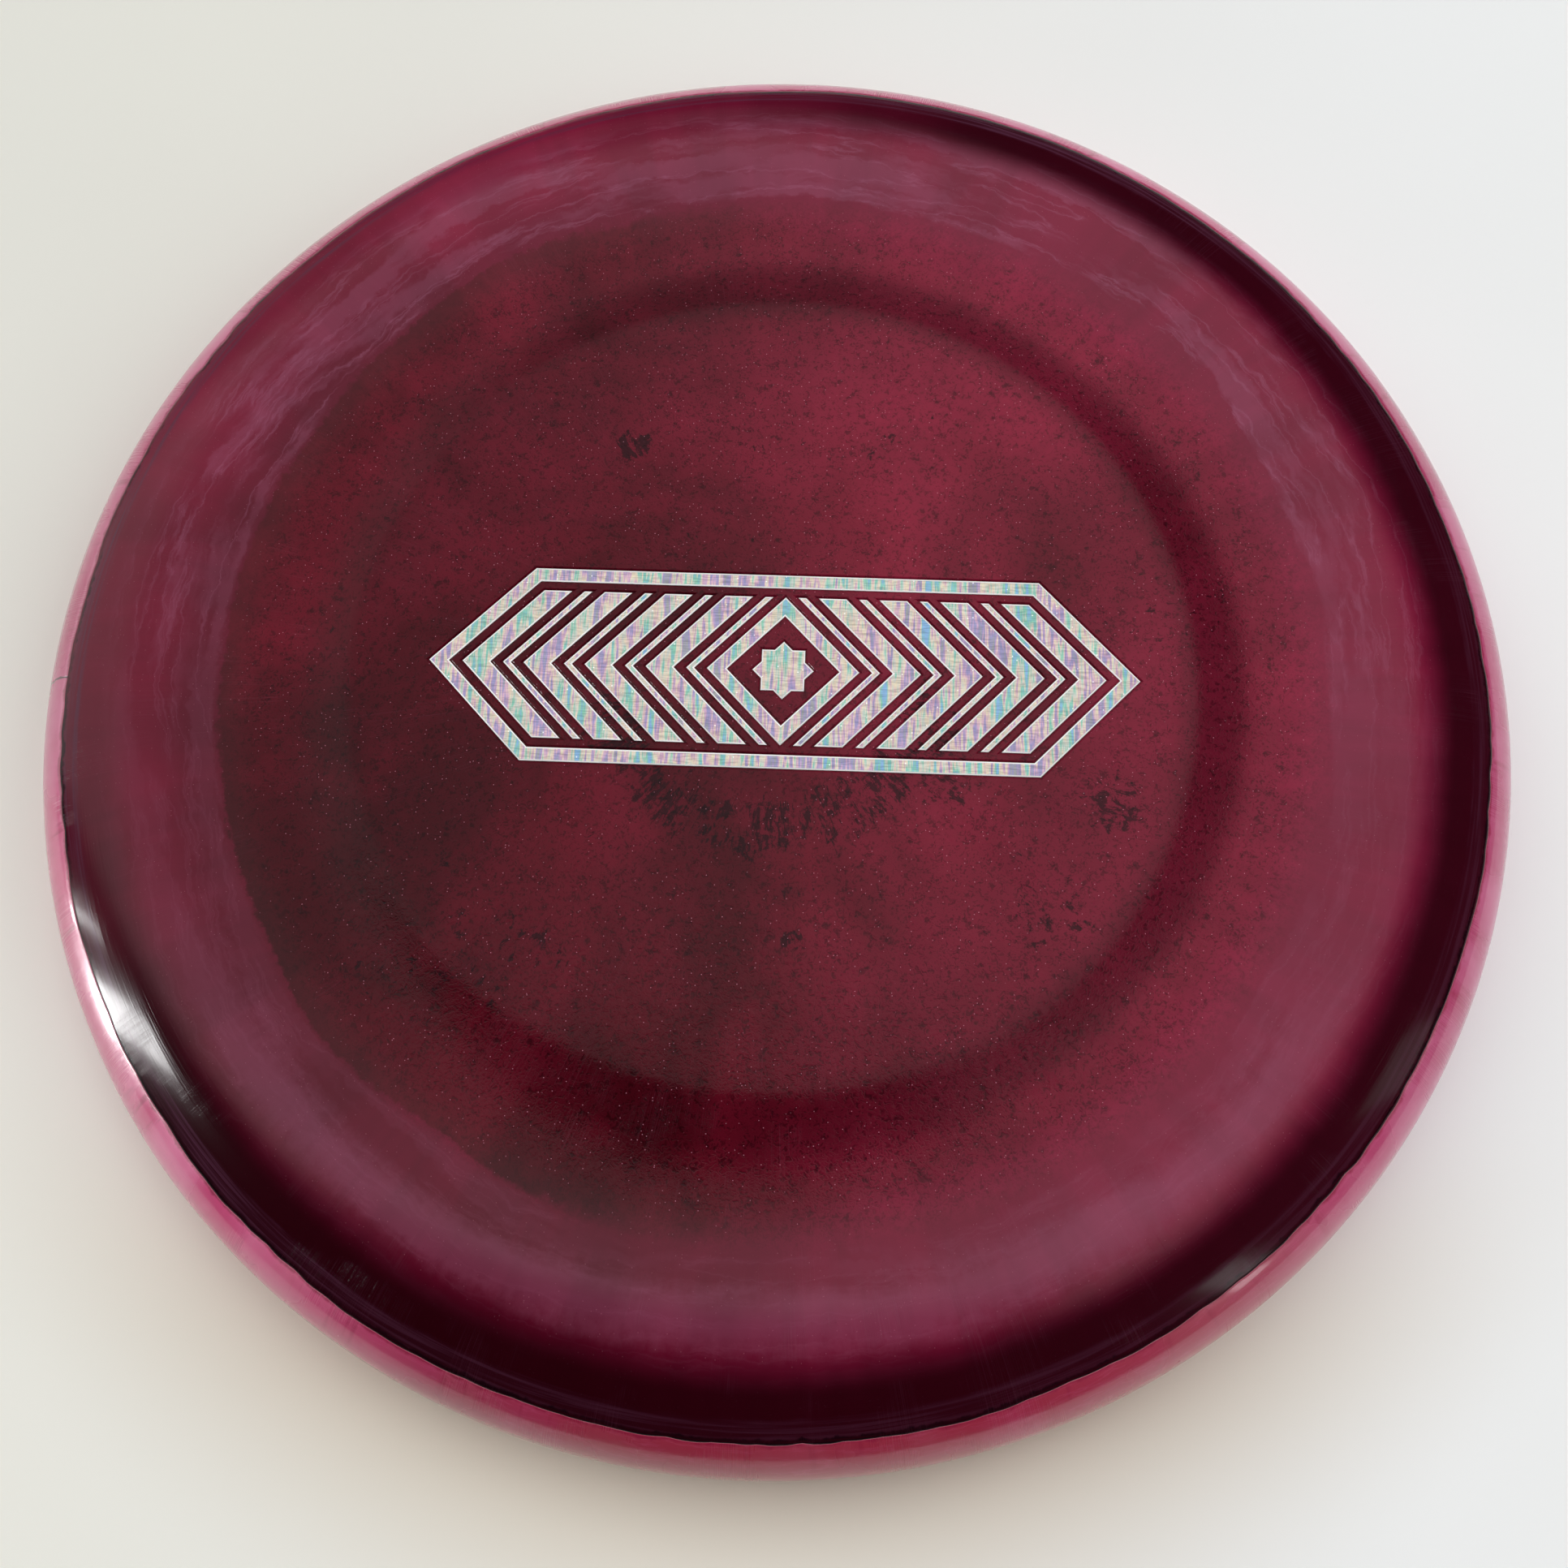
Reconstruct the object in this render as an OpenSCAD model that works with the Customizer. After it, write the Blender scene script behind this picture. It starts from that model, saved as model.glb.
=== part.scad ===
// Golf disc: a flight plate of one plastic seated in a rim of another, with a foil stamp on top.
// Millimetres, +Z up, origin on the ground at the disc's centre, stamp running along X.

/* [Disc] */
// Diameter over the nose of the rim
disc_d = 212; // [175:1:260]
// Height from the ground to the crest of the shoulder
disc_h = 20; // [16.5:0.5:24]

/* [Rim] */
// Width of the rim, from the nose to the top of the inner wall
rim_w = 11.2; // [9.3:0.1:13.5]
// Height of the nose, the widest point of the rim
nose_z = 9; // [7:0.5:11]
// Height of the valley between the nose and the bead
valley_z = 4.2; // [3.9:0.1:5.5]
// How far the valley lies inside the nose
valley_inset = 2.1; // [1.8:0.1:2.4]
// How far the middle of the bead lies inside the nose
bead_inset = 2.9; // [2.6:0.1:3.2]
// Radius of the bead at the foot of the rim
bead_r = 1.7; // [1.4:0.1:1.9]
// Radius of the rim's inner foot
foot_r = 2; // [1:0.1:2.5]
// How far the inner wall leans out towards the foot
wall_draft = 0.5; // [0.1:0.1:1]
// Radius where the inner wall turns under the plate
grip_r = 2.5; // [1.5:0.1:3]

/* [Shoulder] */
// Distance from the nose in to the crest of the shoulder
crest_inset = 17; // [15:0.5:20]
// Thickness of the disc at the shoulder, from the crest down to the hollow beside the rim
shoulder_t = 4.8; // [4:0.1:6]
// Squareness of the shoulder's curve, where 2 is an ellipse
shoulder_power = 2.2; // [2:0.05:2.6]
// Distance from the nose in to the seam between the two plastics
seam_inset = 5.1; // [4.5:0.1:6.5]

/* [Flight plate] */
// Diameter of the raised flat in the middle
flat_d = 119; // [99:1:145]
// How far the crest stands above the flat
crest_rise = 0.4; // [0:0.1:1]
// Depth of the groove below the flat
groove_depth = 1; // [0.4:0.1:1.4]
// Distance from the edge of the flat out to the bottom of the groove
groove_run = 9.5; // [6:0.5:10]
// Thickness of the plate at the flat
plate_t = 2.3; // [1.9:0.1:3.1]
// Run over which the underside thickens towards the rim
haunch_run = 8.3; // [6:0.1:11]

/* [Seat] */
// Thickness of the rim's lip under the plate, at its inner edge
lip_t = 0.9; // [0.7:0.1:1.2]
// How far the lip reaches in past the end of the grip radius
lip_reach = 1.3; // [0.5:0.1:2]
// How far the plate's bevelled edge leans in below the seam
edge_lean = 1.6; // [1:0.1:2.5]

/* [Stamp] */
// Bare flat beyond each tip of the stamp
stamp_inset = 9.5; // [5:0.5:15]
// Height of the stamp
stamp_h = 29; // [24:0.5:35]
// Length of each pointed end
stamp_point = 14; // [10:1:18]
// How far the stamp sits off the disc's centre
stamp_x = 1.5; // [-2:0.1:2]
// Depth of the stamped recess
stamp_recess = 0.25; // [0.2:0.05:0.4]
// Thickness of the foil
foil_t = 0.15; // [0.05:0.05:0.2]
// Bare margin between the foil and the edge of its recess
foil_margin = 0.2; // [0.05:0.05:0.3]
// Bare gap inside the border and round the star
foil_gap = 1.4; // [0.9:0.1:1.8]
// Width of the border and of the lozenge in the middle
border_w = 2; // [1.5:0.1:2.4]
// Number of chevrons between the lozenge and each tip
chevron_count = 4; // [2:1:4]
// Width of the pinstripe between chevrons, along the stamp
pinstripe_w = 1.1; // [0.6:0.1:1.4]
// Bare gap on both sides of a pinstripe
stripe_gap = 1.3; // [0.9:0.1:1.4]

/* [Hidden] */
$fn = 180;

curve_steps = 24;
arc_steps = 10;
cut_above = 1;

maroon = [0.40, 0.10, 0.18];
pink = [0.78, 0.38, 0.55];
foil_silver = [0.80, 0.84, 0.84];

nose_x = disc_d / 2;
crest_x = nose_x - crest_inset;
seam_x = nose_x - seam_inset;
flat_x = flat_d / 2;
groove_x = flat_x + groove_run;
flat_z = disc_h - crest_rise;
groove_z = flat_z - groove_depth;
under_z = flat_z - plate_t;
rim_depth = disc_h - shoulder_t;

valley_x = nose_x - valley_inset;
bead_x = nose_x - bead_inset;
wall_x = nose_x - rim_w;
wall_top_z = rim_depth - grip_r;
foot_x = wall_x + wall_draft;
grip_x = wall_x - grip_r;
haunch_x = grip_x - haunch_run;
lip_x = grip_x - lip_reach;

function smooth(t) = (1 - cos(180 * t)) / 2;
function steps(n) = [for (i = [0 : n]) i / n];
function arc(x, z, r, from, to) = [for (t = steps(arc_steps)) let (a = from + (to - from) * t)
                                   [x + r * cos(a), z + r * sin(a)]];

// Height of the shoulder above the ground at radius x, from the crest to the nose
function shoulder_z(x) = nose_z + (disc_h - nose_z)
    * pow(1 - pow((x - crest_x) / crest_inset, shoulder_power), 1 / shoulder_power);

// Height of the underside at radius x, from the grip radius in to the haunch
function haunch_z(x) = rim_depth + (under_z - rim_depth) * smooth((grip_x - x) / haunch_run);

// The shoulder from radius x on to the nose, with closer points where it turns down
function shoulder(x) = [for (t = steps(curve_steps)) let (r = x + (nose_x - x) * sin(90 * t))
                        [r, shoulder_z(r)]];

groove_in = [for (t = steps(curve_steps))
             [flat_x + groove_run * t, flat_z - groove_depth * sin(90 * t)]];
groove_out = [for (t = steps(curve_steps))
              [groove_x + (crest_x - groove_x) * t, groove_z + (disc_h - groove_z) * smooth(t)]];
shoulder_in = [for (t = steps(curve_steps)) let (r = crest_x + (seam_x - crest_x) * t)
               [r, shoulder_z(r)]];
flank = [for (t = steps(curve_steps))
         [nose_x - valley_inset * smooth(t), nose_z + (valley_z - nose_z) * t]];
haunch_out = [for (t = steps(curve_steps)) let (r = grip_x + (lip_x - grip_x) * t)
              [r, haunch_z(r)]];
haunch_in = [for (t = steps(curve_steps)) let (r = lip_x + (haunch_x - lip_x) * t)
             [r, haunch_z(r)]];

// Where the two plastics meet, from the outer seam to the inner one
lip_z = haunch_z(lip_x) + lip_t;
seat = [[seam_x - edge_lean, lip_z], [lip_x, lip_z]];

bead = arc(bead_x, bead_r, bead_r, acos((valley_x - bead_x) / bead_r), -90);
foot = arc(foot_x + foot_r, foot_r, foot_r, -90, -180);
grip = arc(grip_x, wall_top_z, grip_r, 0, 90);

// A list of points without the repeats where two curves meet
function joined(p) = [for (i = [0 : len(p) - 1]) if (i == 0 || norm(p[i] - p[i - 1]) > 0.001) p[i]];

plate_outline = joined(concat([[0, flat_z]], groove_in, groove_out, shoulder_in, seat,
                              haunch_in, [[0, under_z]]));
rim_outline = joined(concat(shoulder(seam_x), flank, bead, foot, grip, haunch_out,
                            [seat[1], seat[0]]));

stamp_l = flat_d - 2 * stamp_inset;
stamp_half_h = stamp_h / 2;
// How far a slanted edge runs along the stamp for 1 mm of height, and how far along the stamp
// it moves when it is set back 1 mm square to itself
sweep = stamp_point / stamp_half_h;
slant = norm([sweep, 1]);
panel_half_h = stamp_half_h - border_w - foil_gap;
panel_tip = stamp_l / 2 - (border_w + foil_gap) * slant;
lozenge_tip = panel_half_h * sweep;
chevron_pitch = (panel_tip - lozenge_tip) / chevron_count;
chevron_w = chevron_pitch - pinstripe_w - 2 * stripe_gap * slant;
// Half the side of the star's two squares, with the corners of one a gap inside the lozenge
star_half = (lozenge_tip - (border_w + foil_gap) * slant) / (1 + sweep);

// Stamp outlines. Each grows by m on every side: 0 is the foil and foil_margin its recess.

// The whole stamp's pointed band, drawn in by a distance from its edges
module band(inset) {
    half_h = stamp_half_h - inset;
    tip = stamp_l / 2 - inset * slant;
    corner = tip - half_h * sweep;
    polygon([[-tip, 0], [-corner, -half_h], [corner, -half_h],
             [tip, 0], [corner, half_h], [-corner, half_h]]);
}

// The lozenge with its edges moved in square to themselves
module lozenge(inset) {
    tip = lozenge_tip - inset * slant;
    polygon([[-tip, 0], [0, -tip / sweep], [tip, 0], [0, tip / sweep]]);
}

// A bent stripe whose point is at x, cut off level with the panel
module chevron(x, w, m) {
    point = x + m * slant;
    notch = x - w - m * slant;
    half_h = panel_half_h + m;
    back = half_h * sweep;
    polygon([[point, 0], [point - back, half_h], [notch - back, half_h],
             [notch, 0], [notch - back, -half_h], [point - back, -half_h]]);
}

module border_shape(m) {
    difference() {
        band(-m);
        band(border_w + m);
    }
}

module lozenge_shape(m) {
    difference() {
        lozenge(-m);
        lozenge(border_w + m);
    }
}

module star_shape(m) {
    for (turn = [0, 45])
        rotate(turn) square(2 * (star_half + m), center = true);
}

module chevrons_shape(m) {
    for (i = [0 : chevron_count - 1])
        chevron(panel_tip - i * chevron_pitch, chevron_w, m);
}

module pinstripes_shape(m) {
    first = panel_tip - chevron_w - stripe_gap * slant;
    for (i = [0 : chevron_count - 1])
        chevron(first - i * chevron_pitch, pinstripe_w, m);
}

// Puts a stamp outline in its place on the disc, turned to the left or right side
module place(z, h, left = false) {
    translate([stamp_x, 0, z])
        rotate(left ? 180 : 0)
            linear_extrude(h) children();
}

module foil(left = false) {
    place(flat_z - stamp_recess, foil_t, left) children();
}

module recess(left = false) {
    place(flat_z - stamp_recess, stamp_recess + cut_above, left) children();
}

// Pieces

module flight_plate() {
    color(maroon)
        difference() {
            rotate_extrude() polygon(plate_outline);
            recess() border_shape(foil_margin);
            recess() lozenge_shape(foil_margin);
            recess() star_shape(foil_margin);
            for (left = [true, false]) {
                recess(left) chevrons_shape(foil_margin);
                recess(left) pinstripes_shape(foil_margin);
            }
        }
}

module rim() {
    color(pink)
        rotate_extrude() polygon(rim_outline);
}

module foil_border() {
    color(foil_silver) foil() border_shape(0);
}

module foil_lozenge() {
    color(foil_silver) foil() lozenge_shape(0);
}

module foil_star() {
    color(foil_silver) foil() star_shape(0);
}

module foil_chevrons(left) {
    color(foil_silver) foil(left) chevrons_shape(0);
}

module foil_pinstripes(left) {
    color(foil_silver) foil(left) pinstripes_shape(0);
}

flight_plate();
rim();
foil_border();
foil_lozenge();
foil_star();
foil_chevrons(true);  // foil_chevrons_left
foil_chevrons(false);  // foil_chevrons_right
foil_pinstripes(true);  // foil_pinstripes_left
foil_pinstripes(false);  // foil_pinstripes_right
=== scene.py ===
import math
import random

import bmesh
import bpy
import numpy as np
from mathutils import Matrix, Vector, geometry


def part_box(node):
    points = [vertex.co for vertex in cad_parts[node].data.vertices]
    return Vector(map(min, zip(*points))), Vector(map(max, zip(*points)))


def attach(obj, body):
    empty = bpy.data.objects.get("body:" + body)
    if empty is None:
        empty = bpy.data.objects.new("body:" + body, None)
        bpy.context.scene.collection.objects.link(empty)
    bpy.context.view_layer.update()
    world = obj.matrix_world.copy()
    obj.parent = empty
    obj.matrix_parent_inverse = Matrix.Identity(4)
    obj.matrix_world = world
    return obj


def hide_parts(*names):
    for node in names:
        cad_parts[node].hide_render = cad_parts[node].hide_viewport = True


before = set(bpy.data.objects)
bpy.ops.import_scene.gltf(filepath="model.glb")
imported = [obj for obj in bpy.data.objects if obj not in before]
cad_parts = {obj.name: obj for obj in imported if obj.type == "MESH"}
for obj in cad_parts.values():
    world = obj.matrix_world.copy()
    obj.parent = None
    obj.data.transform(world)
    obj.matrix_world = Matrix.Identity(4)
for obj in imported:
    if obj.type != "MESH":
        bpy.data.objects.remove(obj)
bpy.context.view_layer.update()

scene = bpy.context.scene
mm = 0.001
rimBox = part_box("rim")
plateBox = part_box("flight_plate")
print("frame loaded:", len(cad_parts), "nodes")


# camera
cameraSetup = {
    "place": (0.00704, -0.07709, 0.2201),
    "turn": -4.5,       # degrees to the right of straight ahead
    "dip": 73.19,       # degrees below the horizon
    "tilt": -2.41,
    "lens": 35.03,
}


def makeCamera(setup):
    turn, dip, tilt = (math.radians(setup[k]) for k in ("turn", "dip", "tilt"))
    ahead = Vector((math.sin(turn) * math.cos(dip), math.cos(turn) * math.cos(dip), -math.sin(dip)))
    side = Vector((math.cos(turn), -math.sin(turn), 0.0))
    up = side.cross(ahead)
    right = side * math.cos(tilt) + up * math.sin(tilt)
    top = up * math.cos(tilt) - side * math.sin(tilt)
    data = bpy.data.cameras.new("camera")
    data.lens = setup["lens"]
    data.sensor_width = 36.0
    data.clip_start = 0.01
    camera = bpy.data.objects.new("camera", data)
    turnMatrix = Matrix((right, top, -ahead)).transposed().to_4x4()
    camera.matrix_world = Matrix.Translation(Vector(setup["place"])) @ turnMatrix
    scene.collection.objects.link(camera)
    scene.camera = camera


makeCamera(cameraSetup)
print("camera set")


# shape of the disc, in millimetres
noseR = rimBox[1].x / mm
crestZ = plateBox[1].z / mm
seamR = plateBox[1].x / mm
segments = 900

plateShape = {
    "flatR": 59.5,
    "flatZ": 19.6,
    "softEdge": 1.3,        # rounding where the flat meets the groove
    "grooveDepth": 1.0,
    "grooveRun": 9.5,
    "crestR": 89.0,
    "underZ": 17.3,
    "haunchR": 84.0,
    "lipR": 91.0,
    "haunchTopR": 92.3,
    "haunchLowZ": 15.2,
    "lipThick": 0.9,
    "edgeLean": 1.6,
    "edgeRoll": 0.08,       # how far the edge rolls down into the seam
    "rollWidth": 0.3,
}
rimShape = {
    "noseZ": 9.0,
    "shoulderPower": 2.2,
    "valleyZ": 4.2,
    "valleyInset": 2.1,
    "beadR": 1.7,
    "beadInset": 2.9,
    "footR": 2.0,
    "footX": 95.3,
    "wallX": 94.8,
    "wallTopZ": 12.7,
    "gripR": 2.5,
}
seamWaves = {"seed": 17, "drift": 0.42, "swell": 0.2, "scallop": 0.22, "count": 7}


def smooth(t):
    return (1 - math.cos(math.pi * t)) / 2


def shoulderZ(r):
    t = min(max((r - plateShape["crestR"]) / (noseR - plateShape["crestR"]), 0.0), 1.0)
    power = rimShape["shoulderPower"]
    return rimShape["noseZ"] + (crestZ - rimShape["noseZ"]) * (1 - t ** power) ** (1 / power)


def topZ(r):
    s = plateShape
    grooveR = s["flatR"] + s["grooveRun"]
    grooveZ = s["flatZ"] - s["grooveDepth"]
    if r <= s["flatR"] - s["softEdge"]:
        return s["flatZ"]
    if r <= grooveR:
        # the straight start of the slope is eased in over the soft edge
        inside = max(r - s["flatR"], 0.0) / s["grooveRun"]
        z = s["flatZ"] - s["grooveDepth"] * math.sin(math.pi / 2 * inside)
        slope = s["grooveDepth"] * math.pi / 2 / s["grooveRun"]
        gap = abs(r - s["flatR"])
        if gap < s["softEdge"]:
            z -= slope * (s["softEdge"] - gap) ** 2 / (4 * s["softEdge"])
        return z
    if r <= s["crestR"]:
        return grooveZ + (crestZ - grooveZ) * smooth((r - grooveR) / (s["crestR"] - grooveR))
    return shoulderZ(r)


def haunchZ(r):
    s = plateShape
    t = (s["haunchTopR"] - r) / (s["haunchTopR"] - s["haunchR"])
    return s["haunchLowZ"] + (s["underZ"] - s["haunchLowZ"]) * smooth(min(max(t, 0.0), 1.0))


def makeSeam(setup):
    # the colour boundary wanders a little round the edge, as two plastics meet in the mould
    draw = random.Random(setup["seed"])
    swells = [(draw.randint(9, 34), draw.uniform(0, math.tau)) for _ in range(setup["count"])]
    scallops = [(draw.randint(48, 130), draw.uniform(0, math.tau)) for _ in range(setup["count"])]
    gains = [(draw.randint(3, 9), draw.uniform(0, math.tau)) for _ in range(setup["count"])]
    offsets = []
    for step in range(segments):
        a = math.tau * step / segments
        swell = sum(math.sin(n * a + p) for n, p in swells) / setup["count"] ** 0.5
        edge = 0.0
        for (n, p), (m, q) in zip(scallops, gains):
            gain = max(0.0, math.sin(m * a + q))
            edge += gain * (abs(math.sin(n * a / 2 + p)) - 0.6)
        drift = -setup["drift"] * (1 + math.sin(a))
        offsets.append(drift + setup["swell"] * swell * 0.6 + setup["scallop"] * edge * 0.55)
    return offsets


seamOffset = makeSeam(seamWaves)
directions = [
    (math.cos(math.tau * step / segments), math.sin(math.tau * step / segments))
    for step in range(segments)
]


def addRing(bm, layer, pointAt, gapAt):
    # one closed ring of vertices; pointAt gives radius and height for the seam's place there
    ring = []
    for step, (cx, cy) in enumerate(directions):
        seam = seamR + seamOffset[step]
        r, z = pointAt(seam)
        vert = bm.verts.new((r * cx * mm, r * cy * mm, z * mm))
        vert[layer] = gapAt(r, seam)
        ring.append(vert)
    return ring


def joinRings(bm, inner, outer):
    for step in range(segments):
        after = (step + 1) % segments
        bm.faces.new((inner[step], outer[step], outer[after], inner[after]))


def finishMesh(bm, name, material, sharp=32.0):
    for face in bm.faces:
        face.smooth = True
    mesh = bpy.data.meshes.new(name)
    bm.to_mesh(mesh)
    bm.free()
    mesh.set_sharp_from_angle(angle=math.radians(sharp))
    mesh.materials.append(material)
    piece = bpy.data.objects.new(name, mesh)
    scene.collection.objects.link(piece)
    return piece


# outlines of the foil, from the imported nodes
foilNodes = [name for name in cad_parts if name.startswith("foil_")]
foilShape = {
    "gap": 0.2,             # clear gap round the foil inside its recess
    "recessRoll": 0.12,     # rolled top edge of the recess
    "edgeLine": 0.3,        # the pressed line round each piece of foil
    "edgeRoll": 0.03,
    "mitre": 2.6,
}


def foilLoops(name):
    # outlines of the node's top face, with the foil on the left of every step
    bm = bmesh.new()
    bm.from_mesh(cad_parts[name].data)
    bmesh.ops.remove_doubles(bm, verts=bm.verts, dist=1e-6)
    top = max(v.co.z for v in bm.verts)
    flat = [f for f in bm.faces if all(top - v.co.z < 1e-6 for v in f.verts)]
    follow = {}
    for face in flat:
        turned = face.normal.z < 0
        for loop in face.loops:
            others = [f for f in loop.edge.link_faces if f in flat]
            if len(others) == 1:
                a, b = loop.vert, loop.link_loop_next.vert
                if turned:
                    a, b = b, a
                follow[a] = b
    loops = []
    while follow:
        start, here = follow.popitem()
        line = [start]
        while here is not start:
            line.append(here)
            here = follow.pop(here)
        points = [(v.co.x / mm, v.co.y / mm) for v in line]
        first = points.index(min(points))       # the same start on every run
        loops.append(points[first:] + points[:first])
    bm.free()
    return sorted(loops)


def offsetLoop(loop, distance):
    # moves an outline away from its foil, or into it where the distance is negative
    moved = []
    for index, (x, y) in enumerate(loop):
        before = loop[index - 1]
        after = loop[(index + 1) % len(loop)]
        first = Vector((y - before[1], before[0] - x)).normalized()
        second = Vector((after[1] - y, x - after[0])).normalized()
        both = first + second
        reach = both / max(1 + first.dot(second), 1e-3)
        if reach.length > foilShape["mitre"]:
            reach = reach.normalized() * foilShape["mitre"]
        moved.append((x + reach.x * distance, y + reach.y * distance))
    return moved


def evenOdd(points, loops):
    inside = np.zeros(len(points), bool)
    px, py = points[:, 0, None], points[:, 1, None]
    for loop in loops:
        ax, ay = np.array(loop).T
        bx, by = np.roll(ax, -1), np.roll(ay, -1)
        spans = (ay > py) != (by > py)
        rise = np.where(by == ay, 1e-9, by - ay)
        hits = spans & (px < (bx - ax) * (py - ay) / rise + ax)
        inside ^= (hits.sum(1) % 2).astype(bool)
    return inside


def fillBetween(bm, rings, upward=True):
    # triangles over the area that an odd number of the rings encloses
    verts = [v for ring in rings for v in ring]
    flat = [Vector((v.co.x / mm, v.co.y / mm)) for v in verts]
    edges = []
    first = 0
    for ring in rings:
        edges += [(first + i, first + (i + 1) % len(ring)) for i in range(len(ring))]
        first += len(ring)
    places, _, faces, origins, _, _ = geometry.delaunay_2d_cdt(flat, edges, [], 0, 1e-7)
    loops = [[(v.co.x / mm, v.co.y / mm) for v in ring] for ring in rings]
    middles = np.array([[sum(places[i][k] for i in f) / 3 for k in (0, 1)] for f in faces])
    keep = evenOdd(middles, loops)
    for face, kept in zip(faces, keep):
        if not kept:
            continue
        a, b, c = (places[i] for i in face)
        turn = (b - a).cross(c - a)
        corners = [verts[origins[i][0]] for i in face]
        if (turn > 0) != upward:
            corners.reverse()
        bm.faces.new(corners)


def addLoop(bm, layer, loop, z, value):
    ring = []
    for x, y in loop:
        vert = bm.verts.new((x * mm, y * mm, z * mm))
        vert[layer] = value
        ring.append(vert)
    return ring


def bridge(bm, upper, lower):
    # walls between two matching outlines, facing away from the foil side
    for index in range(len(upper)):
        after = (index + 1) % len(upper)
        bm.faces.new((upper[index], lower[index], lower[after], upper[after]))


outlines = {name: foilLoops(name) for name in foilNodes}
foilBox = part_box(foilNodes[0])
foilLowZ, foilTopZ = foilBox[0].z / mm, foilBox[1].z / mm
print("foil outlines:", sum(len(loops) for loops in outlines.values()))


# node helpers
def fromScreen(red, green, blue):
    # a colour as seen on screen, 0 to 255, made linear
    linear = []
    for part in (red, green, blue):
        c = part / 255
        linear.append(c / 12.92 if c <= 0.04045 else ((c + 0.055) / 1.055) ** 2.4)
    return (*linear, 1.0)


def addNode(tree, kind, inputs=None, **settings):
    node = tree.nodes.new("ShaderNode" + kind)
    for name, value in settings.items():
        setattr(node, name, value)
    for key, value in (inputs or {}).items():
        if isinstance(value, bpy.types.NodeSocket):
            tree.links.new(value, node.inputs[key])
        else:
            node.inputs[key].default_value = value
    return node


def maths(tree, operation, first, second=0.0, clamp=False):
    node = addNode(tree, "Math", {0: first, 1: second}, operation=operation, use_clamp=clamp)
    return node.outputs[0]


def plus(tree, first, second):
    return maths(tree, "ADD", first, second)


def minus(tree, first, second):
    return maths(tree, "SUBTRACT", first, second)


def times(tree, first, second):
    return maths(tree, "MULTIPLY", first, second)


def ease(tree, value, start, end, low=0.0, high=1.0):
    ranges = {"Value": value, "From Min": start, "From Max": end, "To Min": low, "To Max": high}
    return addNode(tree, "MapRange", ranges, interpolation_type="SMOOTHSTEP").outputs[0]


def strip(tree, value, centre, half, soft):
    # 1 within half of the centre, and nothing beyond half plus soft
    away = maths(tree, "ABSOLUTE", minus(tree, value, centre))
    return ease(tree, away, half, half + soft, 1.0, 0.0)


def mixColour(tree, factor, first, second, blend="MIX"):
    sockets = {0: factor, 6: first, 7: second}
    return addNode(tree, "Mix", sockets, data_type="RGBA", blend_type=blend).outputs[2]


def shaded(tree, colour, value):
    # a colour made lighter or darker by a value about 1
    return mixColour(tree, 1.0, colour, vector3(tree, value, value, value), "MULTIPLY")


def lifted(tree, colour, mask, amount):
    # lighter where the mask is 1, or darker where the amount is negative
    return shaded(tree, colour, plus(tree, 1.0, times(tree, mask, amount)))


def noise(tree, vector, scale, detail=2.0, rough=0.5, warp=0.0):
    inputs = {"Vector": vector, "Scale": scale, "Detail": detail, "Roughness": rough, "Distortion": warp}
    return addNode(tree, "TexNoise", inputs).outputs[0]


def swing(tree, value, reach):
    # a noise moved to lie about zero, and scaled
    return times(tree, minus(tree, value, 0.5), reach)


def ridge(tree, value, power):
    # thin bright lines where a noise crosses its middle
    away = maths(tree, "ABSOLUTE", minus(tree, value, 0.5))
    nearShadeMask = maths(tree, "SUBTRACT", 1.0, times(tree, away, 2.0), clamp=True)
    return maths(tree, "POWER", nearShadeMask, power)


def vector3(tree, x=0.0, y=0.0, z=0.0):
    return addNode(tree, "CombineXYZ", {0: x, 1: y, 2: z}).outputs[0]


def lengthOf(tree, x, y):
    return addNode(tree, "VectorMath", {0: vector3(tree, x, y)}, operation="LENGTH").outputs["Value"]


class Polar:
    # place on the disc as radius and direction, in millimetres
    def __init__(self, tree):
        self.tree = tree
        self.place = addNode(tree, "TexCoord").outputs["Object"]
        parts = addNode(tree, "SeparateXYZ", {0: self.place})
        self.x, self.y, self.z = (times(tree, parts.outputs[i], 1000.0) for i in range(3))
        self.radius = lengthOf(tree, self.x, self.y)
        safe = maths(tree, "MAXIMUM", self.radius, 0.01)
        self.dirX = maths(tree, "DIVIDE", self.x, safe)
        self.dirY = maths(tree, "DIVIDE", self.y, safe)

    def facing(self, x, y):
        # how far the direction from the middle points along x, y
        return plus(self.tree, times(self.tree, self.dirX, x), times(self.tree, self.dirY, y))

    def turned(self, around, across, shift=0.0):
        # coordinates whose pattern follows the disc round: around and across are counts
        tree = self.tree
        return vector3(
            tree,
            times(tree, self.dirX, around),
            times(tree, self.dirY, around),
            plus(tree, times(tree, self.radius, across), shift),
        )

    def stretched(self, alongX, alongY, shift=0.0):
        # coordinates for a pattern that is longer one way than the other
        tree = self.tree
        return vector3(tree, times(tree, self.x, alongX), times(tree, self.y, alongY), shift)

    def spot(self, x, y, size, soft=0.6):
        # 1 at a place in millimetres, fading out at the size
        tree = self.tree
        away = lengthOf(tree, minus(tree, self.x, x), minus(tree, self.y, y))
        return ease(tree, away, size * (1 - soft), size, 1.0, 0.0)


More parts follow.
